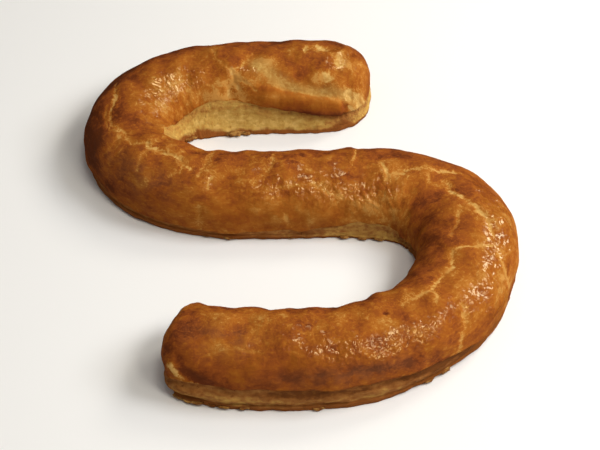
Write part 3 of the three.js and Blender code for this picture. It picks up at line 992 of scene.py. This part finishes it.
# Places with a painted sheen: a faint pale overlay that stands in for the glaze's soft reflection.
PAINTED_SHEEN_PLACES = [(466, 6, 14, 7), (168, -15, 18, 8), (420, 22, 25, 5)]
CRACKLED = [(440, -7, 50, 10), (205, 4, 60, 8)]
LIP_SHARP, LIP_TONE = 2.5, -0.1
# The lip's own amber, with painted shade on its lower side and a painted highlight along its top.
LIP_LOW_PAINTED_SHADE, LIP_LOW_FROM, LIP_LOW_EASE = 0.3, 26.5, 6.0
LIP_TOP_PAINTED_HIGHLIGHT, LIP_TOP_AT, LIP_TOP_WIDTH = -0.2, 23.5, 2.0
# A line of painted shade just under the rolled lip.
UNDER_LIP = [(8, 30), (14, 33.5), (32, 33.5)]
UNDER_LIP_PAINTED_SHADE, UNDER_LIP_WIDTH = 0.4, 1.5
# The valley's tan is bare dough; the rolling lumps get painted light, lighter on ridges and darker in
# hollows.
VALLEY_TONE, ROLLING_PAINTED_LIGHT = -0.3, -0.3
# Painted shade in the pocket, the pit and the crease, which the relief dents as well.
POCKET_PAINTED_SHADE, PIT_PAINTED_SHADE = 0.6, 1.1
CREASE = [(469, 29), (474.5, 25), (478.5, 20), (480.5, 15)]
CREASE_PAINTED_SHADE, CREASE_WIDTH = 0.4, 1.6
SEAM_WIDTH, SEAM_FROM, SEAM_EASE, SEAM_ENDS, SEAM_FADE = 1.4, 7.0, 5.0, 46.0, 26.0
EDGE_CLEAR = 0.3
# On the front arm's side: a painted highlight on the bulging fold and painted shade in the crevice.
FOLD_PAINTED_HIGHLIGHT, CREVICE_PAINTED_SHADE, CREVICE_END_FADE = -0.2, 0.35, 1.5
BROWN_BASE = {1: [(0, 1.5), (5, 2), (9, 5.5), (13, 4), (19, 2), (70, 2.2), (95, 3.2), (140, 3.5), (360, 5),
                  (392, 5), (405, 3.2), (425, 3), (445, 2.2), (455, 2.2), (463, 2.6), (472, 3.2),
                  (480, 3.8)],
              -1: [(0, 1.5), (8, 2.5), (200, 3), (230, 2), (250, 1.2), (285, 1.2), (330, 2.5)]}
# Dough tones along each side: baked browning, and on the front arm's side partly painted shade, as that side
# faces away from the key light.
DOUGH_TONE = {1: [(0, 0.15), (8, 0.3), (10.5, 0.5), (14, 0.3), (27, 0.0), (40, -0.08), (60, -0.06),
                  (90, 0.03), (165, 0.05), (190, 0.45), (230, 0.4), (300, 0.5), (345, 0.6), (375, 0.85),
                  (392, 0.85), (398, 0.8), (405, 0.7), (411, 0.55), (418, 0.55), (425, 0.68), (437, 0.8),
                  (445, 0.72), (452, 0.64), (460, 0.42), (466, 0.54), (478, 0.62), (485, 0.7)],
              -1: [(0, 0.15), (6, 0.4), (60, 0.45), (110, 0.5), (150, 0.55), (200, 0.45), (235, 0.38),
                   (255, 0.2), (280, 0.22), (300, 0.35), (330, 0.45), (470, 0.5), (491, 0.8)]}
print("tones at", len(TONES), "places")

# %% Stored browning
tone = sum(amount * bell(*place) for *place, amount in TONES)
# Lumps are painted lighter on their ridges and darker in their hollows.
tone = tone + VALLEY_TONE * valley + ROLLING_PAINTED_LIGHT * rolling
on_lip = smooth_step(lip_bar * LIP_SHARP)
# On the lip: its amber, painted shade towards its underside and a painted highlight along its top.
lip_tone_and_painted_light = LIP_TONE + LIP_LOW_PAINTED_SHADE * smooth_step((ARC - LIP_LOW_FROM) / LIP_LOW_EASE)
lip_tone_and_painted_light = lip_tone_and_painted_light + LIP_TOP_PAINTED_HIGHLIGHT * np.exp(-((ARC - LIP_TOP_AT) / LIP_TOP_WIDTH) ** 2)
# The pocket and the pit get painted shade.
tone = tone * (1.0 - on_lip) + lip_tone_and_painted_light * on_lip + POCKET_PAINTED_SHADE * bell(*POCKET) + PIT_PAINTED_SHADE * bell(*PIT)
# Painted shade along the line under the lip.
tone = tone + UNDER_LIP_PAINTED_SHADE * np.exp(-(line_distance(UNDER_LIP) / UNDER_LIP_WIDTH) ** 2)
# Painted shade along the crease at the last end.
tone = tone + CREASE_PAINTED_SHADE * np.exp(-(line_distance(CREASE) / CREASE_WIDTH) ** 2)
over = HIGH - EDGE
above_edge = np.where(ZONE == 2, EDGE_CLEAR + np.maximum(over, 0.0), np.minimum(over, -EDGE_CLEAR))
# Painted shade along the skin's lower edge under the lip of the upper arm.
seam = np.exp(-(over / SEAM_WIDTH) ** 2) * (SIDE > 0)
seam = seam * smooth_step((SEAM_ENDS - ALONG) / SEAM_FADE) * smooth_step((ALONG - SEAM_FROM) / SEAM_EASE)
# Painted shade in the crevice, fading at the last end; a painted highlight on the fold.
crevice_painted_shade = CREVICE_PAINTED_SHADE * crevice * (1.0 - CREVICE_END_FADE * end_roll)
fold_and_crevice_painted_light = FOLD_PAINTED_HIGHLIGHT * on_front_arm * front_fold + crevice_painted_shade
STORED = {
    "skin": above_edge, "tone": tone, "split": SPLIT, "bare": valley * (1.0 - on_lip), "pale": PALE,
    "pebbly": PEBBLY, "lip": on_lip, "seam": seam, "base": HIGH / by_side(BROWN_BASE),
    "dough": by_side(DOUGH_TONE) + fold_and_crevice_painted_light,
}
for name, places in (("even", EVEN_PLACES), ("sheen", PAINTED_SHEEN_PLACES), ("crackled", CRACKLED)):
    STORED[name] = np.clip(sum(bell(*place) for place in places), 0.0, 1.0)
for name, values in STORED.items():
    store(roll, name, values)
store(roll, "place", np.stack([WALK, ARC, HIGH], axis=-1))
print("stored:", ", ".join(STORED), "- tone", tone.min().round(2), "to", tone.max().round(2))

# %% [markdown]
# ## The crust: clouds
# Egg wash makes the skin a clear shiny brown over golden layers. Where it split, and on the sides, the
# dough is pale and dull. A picture could be painted for this, but formulas stay sharp at any size. First
# come the clouds, on the peeled map of the skin. The map is bent by noise before it is read, so that no
# cloud looks ruled. Scales are per millimetre.

# %% Crust clouds
WANDER_SCALE, WANDER_REACH = 0.25, 3.0
SWIRL_SCALE, SWIRL_REACH = 0.07, 14.0
STREAK = (0.5, 0.1, 0.0)
LONG_STREAK = (0.1, 0.5, 0.0)
FLECK = (0.5, 0.8, 0.0)
SHARD = (0.22, 0.34, 0.0)
PEBBLE = (0.37, 0.28, 0.0)


def crust_clouds(place):
    """Noises by name, each from 0 to 1; most read the bent map, place + three noises x reach."""
    flat_place = place.stretch(1.0, 1.0, 0.0)
    bend = flat_place.noise(WANDER_SCALE, 2.0, output=1).stretch(WANDER_REACH, WANDER_REACH, 0.0)
    wander = flat_place.shift(bend)
    swirl = wander.shift(flat_place.noise(SWIRL_SCALE, 1.0, output=1).stretch(SWIRL_REACH, SWIRL_REACH, 0.0))
    return {
        "broad": flat_place.noise(0.06, 2.0),
        "patch": wander.noise(0.16, 4.0),
        "fine": wander.noise(0.6, 3.0),
        "grain": flat_place.noise(1.3, 2.0),
        "worm": wander.noise(0.36, 2.0),
        "streak": swirl.stretch(*STREAK).noise(1.0, 2.0),
        "long streak": swirl.stretch(*LONG_STREAK).noise(1.0, 2.0),
        "fleck": wander.stretch(*FLECK).noise(1.0, 2.0).rise(0.55, 0.66),
        "shard": wander.stretch(*SHARD).cell_shade(1.0),
        "pebble": wander.stretch(*PEBBLE).noise(1.0, 1.0),
    }


print("clouds ready")

# %% [markdown]
# ## The crust: colour of the skin
# One brown value picks the skin's colour from a ramp: a middle brown, the stored tone and a share of each
# cloud. Fine pale lines and splits take away from it. Over that lie the tan of bare dough in the valley by
# the lip, the cream of the splits and, in a few places, a faint painted sheen of the glaze.

# %% Skin colour
BROWNS = [(0.0, (0.48, 0.225, 0.050)), (0.15, (0.40, 0.150, 0.024)), (0.3, (0.35, 0.113, 0.014)),
          (0.5, (0.295, 0.082, 0.0105)), (0.7, (0.24, 0.060, 0.0105)), (0.85, (0.185, 0.043, 0.009)),
          (1.0, (0.125, 0.029, 0.0075))]
TANS = ((0.35, 0.170, 0.036, 1.0), (0.53, 0.305, 0.082, 1.0))
CREAMS = ((0.47, 0.235, 0.050, 1.0), (0.68, 0.42, 0.135, 1.0))
# The painted sheen: a pale colour laid thinly over the skin in place of a reflection.
PAINTED_SHEEN, PAINTED_SHEEN_SHARE = (0.32, 0.34, 0.20, 1.0), 0.05
MIDDLE_BROWN = 0.53
CLOUD_SHARES = {"broad": 0.85, "patch": 0.95, "streak": 0.3, "long streak": 0.2, "fine": 0.55, "grain": 0.3}
LIP_CALM, EVEN_CALM, EVEN_PLAIN = 0.3, 0.4, 0.6
NET_WIDTH, NET_LEAST = 0.04, 0.2
SHARD_SHARE, CRACKLED_SHARD = 0.2, 0.25
LINE_SHARE, CRACKLED_LINE, FLECK_SHARE, FRINGE_SHARE = 0.5, 0.6, 0.2, 0.2
SPLIT_FROM, SPLIT_FULL, SPLIT_FRAY, SPLIT_GRAIN = 0.64, 0.96, 0.5, 0.2
CREAM_LEAST, CREAM_MORE, CREAM_PATCH, CREAM_SHARE = 0.3, 0.7, (0.38, 0.58), 0.9
CREAM_SHOWS, MOTTLE, PAINTED_SHEEN_PATCH = (0.3, 0.9), (0.36, 0.64), (0.3, 0.6)
BARE_PATCH, BARE_FINE, BARE_LESS = 1.2, 1.6, 0.6
MOTTLE_FINE, MOTTLE_PATCH = 0.6, 0.4


def skin_colour(stored, cloud):
    """The skin's colour and its creaminess.

    Brown = middle brown + tone + sum of (cloud - 0.5) x share - splits, lines and cream."""
    patch, fine, grain = cloud["patch"], cloud["fine"], cloud["grain"]
    near_split = stored["split"].rise(0.0, 1.0) * stored["pale"]
    net = (cloud["worm"] - 0.5).math("ABSOLUTE").rise(NET_WIDTH, 0.0) * (NET_LEAST + near_split)
    uneven = (cloud["shard"] - 0.5) * (SHARD_SHARE + stored["crackled"] * CRACKLED_SHARD)
    for name, share in CLOUD_SHARES.items():
        uneven = uneven + (cloud[name] - 0.5) * share
    uneven = uneven * (1.0 - stored["lip"] * LIP_CALM) * (1.0 - stored["even"] * EVEN_CALM)
    frayed = stored["split"] + (fine - 0.5) * SPLIT_FRAY + (grain - 0.5) * SPLIT_GRAIN
    split = frayed.rise(SPLIT_FROM, SPLIT_FULL)
    cream = split * stored["pale"] * (CREAM_LEAST + patch.rise(*CREAM_PATCH) * CREAM_MORE)
    lines = net * (LINE_SHARE + stored["crackled"] * CRACKLED_LINE) + cloud["fleck"] * FLECK_SHARE
    lines = lines * (1.0 - stored["lip"]) * (1.0 - stored["even"] * EVEN_PLAIN)
    brown = MIDDLE_BROWN + stored["tone"] + uneven - near_split * FRINGE_SHARE - lines
    brown = brown - cream * CREAM_SHARE
    bare = (stored["bare"] * (patch * BARE_PATCH + fine * BARE_FINE - BARE_LESS)).clamp()
    mottle = (fine * MOTTLE_FINE + patch * MOTTLE_PATCH).rise(*MOTTLE)
    colour = bare.mix(brown.clamp().ramp(BROWNS), mottle.mix(*TANS))
    colour = cream.rise(*CREAM_SHOWS).mix(colour, mottle.mix(*CREAMS))
    # Painted sheen: a faint pale overlay in a few places.
    colour = (stored["sheen"] * patch.rise(*PAINTED_SHEEN_PATCH) * PAINTED_SHEEN_SHARE).mix(colour, PAINTED_SHEEN)
    return colour, cream


print("skin ramp of", len(BROWNS), "browns")

# %% [markdown]
# ## The crust: colour of the side
# The side is dough that never saw the glaze. A second value, from fresh and pale to baked brown, picks its
# colour: the stored tone, a crumb with pores, and streaks along the layers. It darkens a little just under
# the skin's edge: painted shade from the overhanging skin. The stored tone also holds a painted highlight
# on the front arm's fold, painted shade in its crevice, and partly painted shade on the front arm's side.

# %% Side colour
DOUGHS = [(-0.3, (0.68, 0.45, 0.135)), (0.0, (0.535, 0.325, 0.078)), (0.25, (0.47, 0.242, 0.057)),
          (0.5, (0.335, 0.136, 0.034)), (0.75, (0.25, 0.087, 0.02)), (1.0, (0.15, 0.048, 0.011))]
PORE = (1.0, 1.0, 0.5)
FOLDS = (0.3, 0.0, 0.1)
LAYERS = (0.07, 0.0, 0.3)
PORE_SHOWS, UNDER_EDGE = (0.62, 0.75), (-8.0, -2.0)
CRUMB_SHARE, FOLD_SHARE, LAYER_SHARE, PORE_SHARE = 1.1, 0.5, 0.7, 0.3
# Painted shade just under the skin's edge, where the skin overhangs the side.
UNDER_EDGE_PAINTED_SHADE, DOUGH_SHIFT = 0.22, -0.04


def side_colour(stored, place):
    """The dough's colour, its crumb and its pores; the ramp runs from the least listed tone to 1."""
    crumb = place.noise(0.4, 4.0)
    pore = place.stretch(*PORE).noise(0.9, 2.0).rise(*PORE_SHOWS)
    fold = place.stretch(*FOLDS).noise(1.0, 2.0)
    layers = place.stretch(*LAYERS).noise(1.0, 2.0)
    baked = stored["dough"] + (crumb - 0.5) * CRUMB_SHARE + (fold - 0.5) * FOLD_SHARE
    baked = baked + (layers - 0.5) * LAYER_SHARE + pore * PORE_SHARE
    # Painted shade just under the skin's edge.
    baked = baked + stored["skin"].rise(*UNDER_EDGE) * UNDER_EDGE_PAINTED_SHADE + DOUGH_SHIFT
    least = DOUGHS[0][0]
    stops = [((shade - least) / (1.0 - least), colour) for shade, colour in DOUGHS]
    return ((baked - least) / (1.0 - least)).clamp().ramp(stops), crumb, pore


print("side ramp of", len(DOUGHS), "doughs")

# %% [markdown]
# ## The crust: glaze
# Glaze is left in pebbly places only. So two shaders are mixed: a dull one with all of the fine bump, and a
# shiny one whose bump is the pebbles alone, because a clear coat fills what is finer. The shiny one fades
# where it is seen at a flat angle, as it would only mirror the dark room there. Heights for the bump are in
# millimetres.

# %% Crust material
BASE_BROWN = (0.24, 0.077, 0.017, 1.0)
# The dark brown of the painted shade under the lip.
SEAM_PAINTED_SHADE = (0.15, 0.038, 0.008, 1.0)
DULL_ROUGHNESS, DULL_SPECULAR = 0.55, 0.03
SHINY_ROUGHNESS, SHINY_SPECULAR = 0.16, 0.5
EDGE_FRAY, EDGE_SOFT = 0.5, 0.1
BASE_FRAY, BASE_ENDS, BASE_FULL, SEAM_LEAST = 1.2, 1.2, 0.6, 0.4
PEBBLE_LEAST, PEBBLE_MORE, DULL_PEBBLE = 0.15, 0.8, 0.6
FINE_BUMP, GRAIN_BUMP, CRUMB_BUMP, PORE_BUMP = 0.16, 0.06, 0.6, 0.15
GLAZE_FROM, GLAZE_FULL, GLAZE_FRAY = 0.38, 0.8, 1.4
GLAZED_FROM, GLAZED_FULL, CREAM_DULL = 0.12, 0.35, 0.7
FLAT_ANGLE, CLEAR_ANGLE = 0.85, 0.6


def crust_material():
    """Skin above its edge, dough below it, brown at the foot, painted shade under the lip; shiny where glaze
    is left.
    """
    material, dull, start = new_material("glazed crust")
    place = start.out("ShaderNodeAttribute", "Vector", {"attribute_name": "place"})
    stored = {name: start.out("ShaderNodeAttribute", "Fac", {"attribute_name": name}) for name in STORED}
    cloud = crust_clouds(place)
    patch, fine = cloud["patch"], cloud["fine"]
    colour, cream = skin_colour(stored, cloud)
    dough, crumb, pore = side_colour(stored, place)
    side = (stored["skin"] + (fine - 0.5) * EDGE_FRAY).rise(EDGE_SOFT, -EDGE_SOFT)
    base = (stored["base"] + (patch - 0.5) * BASE_FRAY).rise(BASE_ENDS, BASE_FULL) * side
    colour = base.mix(side.mix(colour, dough), BASE_BROWN)
    # Painted shade under the lip.
    colour = (stored["seam"] * (SEAM_LEAST + patch)).clamp().mix(colour, SEAM_PAINTED_SHADE)
    pebbly = stored["pebbly"]
    pebble = (cloud["pebble"] - 0.5) * (PEBBLE_LEAST + pebbly * PEBBLE_MORE)
    skin_height = pebble * DULL_PEBBLE + (fine - 0.5) * FINE_BUMP + (cloud["grain"] - 0.5) * GRAIN_BUMP
    side_height = (crumb - 0.5) * CRUMB_BUMP - pore * PORE_BUMP
    rough_height = skin_height * (1.0 - side) + side * side_height
    rough_normal = start.out("ShaderNodeBump", Strength=1.0, Distance=MM, Height=rough_height)
    glaze_normal = start.out("ShaderNodeBump", Strength=1.0, Distance=MM, Height=pebble)
    shiny = start.node("ShaderNodeBsdfPrincipled")
    feed(dull, Base_Color=colour, Normal=rough_normal, Roughness=DULL_ROUGHNESS,
         Specular_IOR_Level=DULL_SPECULAR)
    feed(shiny, Base_Color=colour, Normal=glaze_normal, Roughness=SHINY_ROUGHNESS,
         Specular_IOR_Level=SHINY_SPECULAR)
    glaze_left = (pebbly + (patch - 0.5) * GLAZE_FRAY).rise(GLAZE_FROM, GLAZE_FULL)
    glaze_left = glaze_left * pebbly.rise(GLAZED_FROM, GLAZED_FULL) * (1.0 - side)
    grazing = start.out("ShaderNodeLayerWeight", "Facing", Blend=0.5)
    glaze_left = glaze_left * (1.0 - cream * CREAM_DULL) * grazing.rise(FLAT_ANGLE, CLEAR_ANGLE)
    tree = material.node_tree
    shaders = {"_1": Value(tree, dull.outputs[0]), "_2": Value(tree, shiny.outputs[0])}
    mixed = start.node("ShaderNodeMixShader", _0=glaze_left, **shaders)
    tree.links.new(mixed.outputs[0], tree.nodes["Material Output"].inputs["Surface"])
    return material


crust = crust_material()
roll.data.materials.append(crust)
print("crust material of", len(crust.node_tree.nodes), "nodes")

# %% [markdown]
# ## A map for baking
# A game engine wants the finish as a picture. The best flat map of a roll is the roll peeled open, cut in
# two equal lengths that lie one above the other in the unit square. Distances round each ring are added up,
# so that nothing is squeezed. The small closing faces at both ends get narrow strips of their own.

# %% Bake map
MAP_WIDE, MAP_TALL = 0.94, 0.47
MAP_LEFT, MAP_LOW, MAP_ROW = 0.02, 0.01, 0.5
MAP_ROUND = 140.0
MAP_LENGTH = 1.02 * ROLL_LENGTH / 2
END_AT, END_STRIP = 0.016, 0.01


def bake_map():
    """For each face corner: along the roll goes across, round the ring goes up, a row for each half."""
    steps = np.linalg.norm(np.roll(ROLL, -1, axis=1) - ROLL, axis=-1)
    round_share = np.pad(np.cumsum(steps, axis=1), ((0, 0), (1, 0))) / MAP_ROUND
    ring = np.arange(RINGS - 1)[:, None] + np.array([0, 0, 1, 1])
    column = np.arange(COLUMNS)[:, None] + np.array([0, 1, 1, 0])
    ring, column = np.broadcast_arrays(ring[:, None, :], column[None, :, :])
    row = (ring[..., :1] >= RINGS // 2).astype(float)
    first = np.where(row > 0, ring_along[RINGS // 2, 0], 0.0)
    across = (ring_along[ring, 0] - first) / MAP_LENGTH * MAP_WIDE + MAP_LEFT
    up = round_share[ring, column] * MAP_TALL + MAP_LOW + row * MAP_ROW
    grid_map = np.stack([across, up], axis=-1)
    half = left_arc.shape[1]
    low, high = round_share[0, :half - 2], round_share[0, 1:half - 1]
    strip_up = np.stack([low, low, high, high], axis=-1) * MAP_TALL + MAP_LOW
    strip_across = np.array([END_AT, END_AT - END_STRIP, END_AT - END_STRIP, END_AT]) + 0 * strip_up
    start = np.stack([strip_across, strip_up], axis=-1)
    last = start[:, ::-1] * [-1.0, 1.0] + [1.0, MAP_ROW]
    return np.concatenate([grid_map.reshape(-1, 4, 2), start, last])


corner_map = bake_map()
roll.data.uv_layers.new(name="OFBake").data.foreach_set("uv", corner_map.astype(np.float32).ravel())
print("bake map from", corner_map.min(axis=(0, 1)).round(3), "to", corner_map.max(axis=(0, 1)).round(3))

# %% [markdown]
# ## Flakes at the foot
# Puff pastry sheds. A few scraps of the bottom sheet stick out at the foot of the roll. Each is a thin bent
# lens with a ragged rim, pushed half way into the sheet so that it cannot float. One array holds them all.

# %% Flakes
# Each flake has a side, a place along the roll and half its length.
FLAKES = np.array([
    (1, 62, 2.2), (1, 68, 3.6), (1, 71, 2.0), (1, 108, 3.0), (1, 112, 2.0), (-1, 196, 1.8), (-1, 204, 2.4),
    (-1, 229, 1.6), (-1, 255, 2.6), (-1, 264, 2.2), (-1, 273, 2.4), (-1, 316, 1.8), (1, 387, 3.8),
    (1, 393, 2.4), (1, 431, 2.2), (1, 457, 2.6), (1, 468, 1.8), (1, 474, 3.0), (1, 479, 2.4), (-1, 60, 2.0),
    (-1, 420, 2.2), (1, 484, 2.4), (1, 464, 2.4),
])
FLAKE_RINGS, FLAKE_COLUMNS = 7, 10
FLAKE_SHAPE = (1.0, 0.55, 0.26)
FLAKE_TIP, FLAKE_BEND = 0.06, 0.12
FLAKE_RAG, FLAKE_WAVES, FLAKE_STEPS = 0.9, (1.9, 1.4), (5.3, 3.1)
FLAKE_LIFT, FLAKE_TILT, FLAKE_DROOP = 1.1, 0.5, 0.3


def flakes():
    """Ellipsoids (cos u, sin u cos v, sin u sin v), stretched, bent and with a wavy rim, along the foot."""
    side, along, half = FLAKES.T[:, :, None, None]
    u = np.linspace(FLAKE_TIP, np.pi - FLAKE_TIP, FLAKE_RINGS)[None, :, None]
    v = np.linspace(0.0, 2 * np.pi, FLAKE_COLUMNS, endpoint=False)[None, None, :]
    number = np.arange(len(FLAKES))[:, None, None]
    rim_u = u * FLAKE_WAVES[0] + number * FLAKE_STEPS[0]
    rim_v = np.cos(v) * FLAKE_WAVES[1] + number * FLAKE_STEPS[1]
    rim = 1.0 + FLAKE_RAG * waves(rim_u, rim_v, 171)
    x = half * FLAKE_SHAPE[0] * np.cos(u) * rim + 0 * v
    y = half * FLAKE_SHAPE[1] * np.sin(u) * np.cos(v) * rim
    z = half * FLAKE_SHAPE[2] * np.sin(u) * np.sin(v) + FLAKE_BEND * half * (x / half) ** 2
    ring = np.abs(ring_along[:, 0][None, :] - along[:, 0, :]).argmin(axis=1)
    column = np.where(side[:, 0, 0] > 0, 0, 2 * left_arc.shape[1] - 2)
    foot, out = ROLL[ring, column], level[ring, column]
    ahead = np.cross(out, [0.0, 0.0, 1.0])
    lift = half * FLAKE_SHAPE[2] * FLAKE_LIFT
    tilt = FLAKE_TILT * (cell_draw(number, number * 0, 181) - FLAKE_DROOP)
    return (foot[:, None, None] + ahead[:, None, None] * x[..., None] + out[:, None, None] * y[..., None]
            + (lift + z + tilt * y)[..., None] * np.array([0.0, 0.0, 1.0]))


def flake_faces():
    """Faces of every flake: round its rings, and a zip of faces across both of its tips."""
    k = np.arange(FLAKE_COLUMNS // 2 - 1)
    tip = np.stack([k, FLAKE_COLUMNS - 1 - k, FLAKE_COLUMNS - 2 - k, k + 1], axis=-1)
    one = np.concatenate([grid_faces(FLAKE_RINGS, FLAKE_COLUMNS, True)[:, ::-1], tip[:, ::-1],
                          tip + (FLAKE_RINGS - 1) * FLAKE_COLUMNS])
    shift = np.arange(len(FLAKES))[:, None, None] * FLAKE_RINGS * FLAKE_COLUMNS
    return (one[None] + shift).reshape(-1, 4)


print("flakes:", len(FLAKES))

# %% Flake material
FLAKE_CLOUDS, FLAKE_SHOWS = 420.0, (0.35, 0.7)
FLAKE_BROWN, FLAKE_PALE = (0.17, 0.055, 0.011, 1.0), (0.48, 0.26, 0.07, 1.0)
FLAKE_ROUGHNESS, FLAKE_SPECULAR = 0.6, 0.15


def flake_material():
    """Brown baked dough with paler clouds, read in the piece's own coordinates."""
    material, shader, start = new_material("flake")
    spot = start.out("ShaderNodeTexCoord", "Object")
    colour = spot.noise(FLAKE_CLOUDS, 3.0).rise(*FLAKE_SHOWS).mix(FLAKE_BROWN, FLAKE_PALE)
    feed(shader, Base_Color=colour, Roughness=FLAKE_ROUGHNESS, Specular_IOR_Level=FLAKE_SPECULAR)
    return material


loose = make_piece("foot_flakes", flakes(), flake_faces())
loose.data.materials.append(flake_material())
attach(loose, "root")
